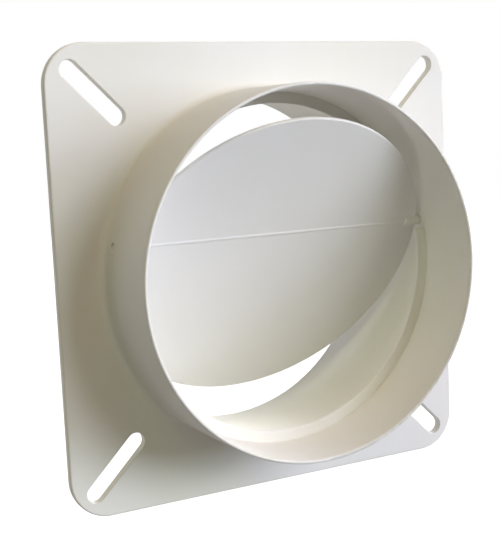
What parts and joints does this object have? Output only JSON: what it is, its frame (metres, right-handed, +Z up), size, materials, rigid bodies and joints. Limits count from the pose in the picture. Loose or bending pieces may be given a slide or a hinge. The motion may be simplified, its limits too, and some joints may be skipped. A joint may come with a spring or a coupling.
{
  "type": "dryer vent draft blocker",
  "caption": "Square wall plate with slotted corners, a round duct collar on each face and a hinged round flap that stops draughts coming back through the duct.",
  "frame": {"origin": "centre of the plate's wall face, on the duct axis", "axes": "+Y along the duct into the wall, open mouth along -Y, +Z up, +X to the right seen from the mouth"},
  "size_m": [0.125, 0.058, 0.125],
  "materials": {
    "body_plastic": "satin",
    "flap_plastic": "satin"
  },
  "bodies": {
    "vent_body": {"vent_body": "body_plastic"},
    "flap": {"flap": "flap_plastic"}
  },
  "joints": [
    {"name": "flap_hinge", "type": "hinge", "parent": "vent_body", "child": "flap", "pos_m": [0, -0.0082, 0.01], "axis": [1, 0, 0], "range_deg": [-33, 52]}
  ]
}
